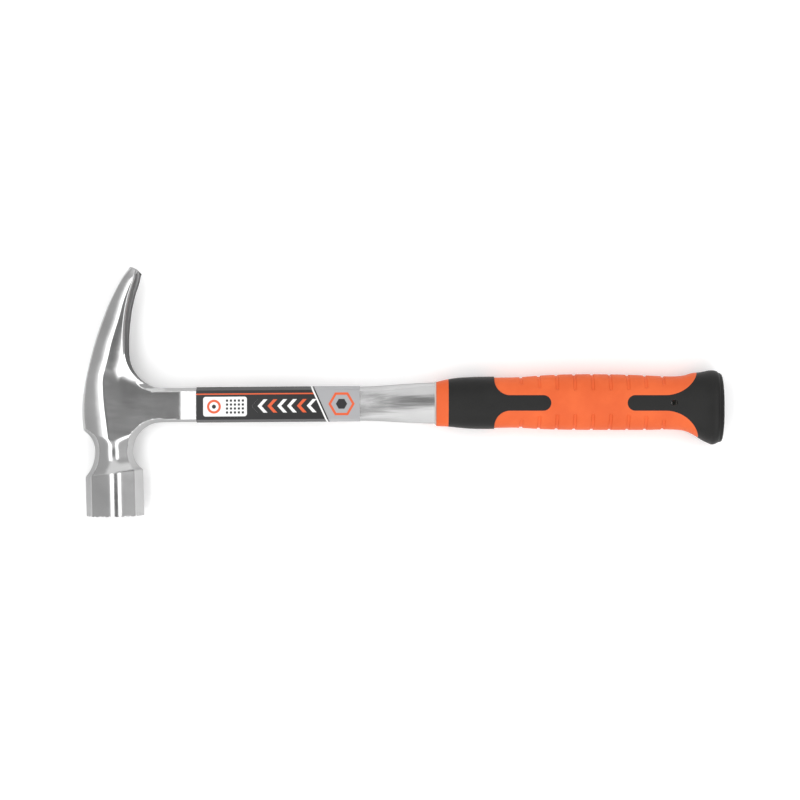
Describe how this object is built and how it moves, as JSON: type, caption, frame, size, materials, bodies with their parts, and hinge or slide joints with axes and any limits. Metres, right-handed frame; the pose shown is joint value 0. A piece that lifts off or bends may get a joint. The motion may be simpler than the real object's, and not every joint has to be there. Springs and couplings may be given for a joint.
{
  "type": "framing hammer",
  "caption": "Steel framing hammer forged in one piece with a milled octagonal face, a straight rip claw and an orange and black rubber grip.",
  "frame": {"origin": "centre of the underside of the bounding box; the hammer lies on its side on z = 0", "axes": "+X from the crown of the head to the butt, +Y from the striking face to the claw tips, +Z square to the hammer's side, up as it lies"},
  "size_m": [0.4063, 0.1583, 0.0341],
  "materials": {
    "steel": "polished",
    "label_film": "gloss",
    "core_plastic": "matte",
    "orange_rubber": "matte",
    "black_rubber": "matte"
  },
  "bodies": {
    "root": {"forged_head_and_shank": "steel", "label_sleeve": "label_film", "grip_core": "core_plastic", "grip_sleeve": "orange_rubber", "front_collar": "black_rubber", "butt_cover": "black_rubber"}
  },
  "joints": []
}
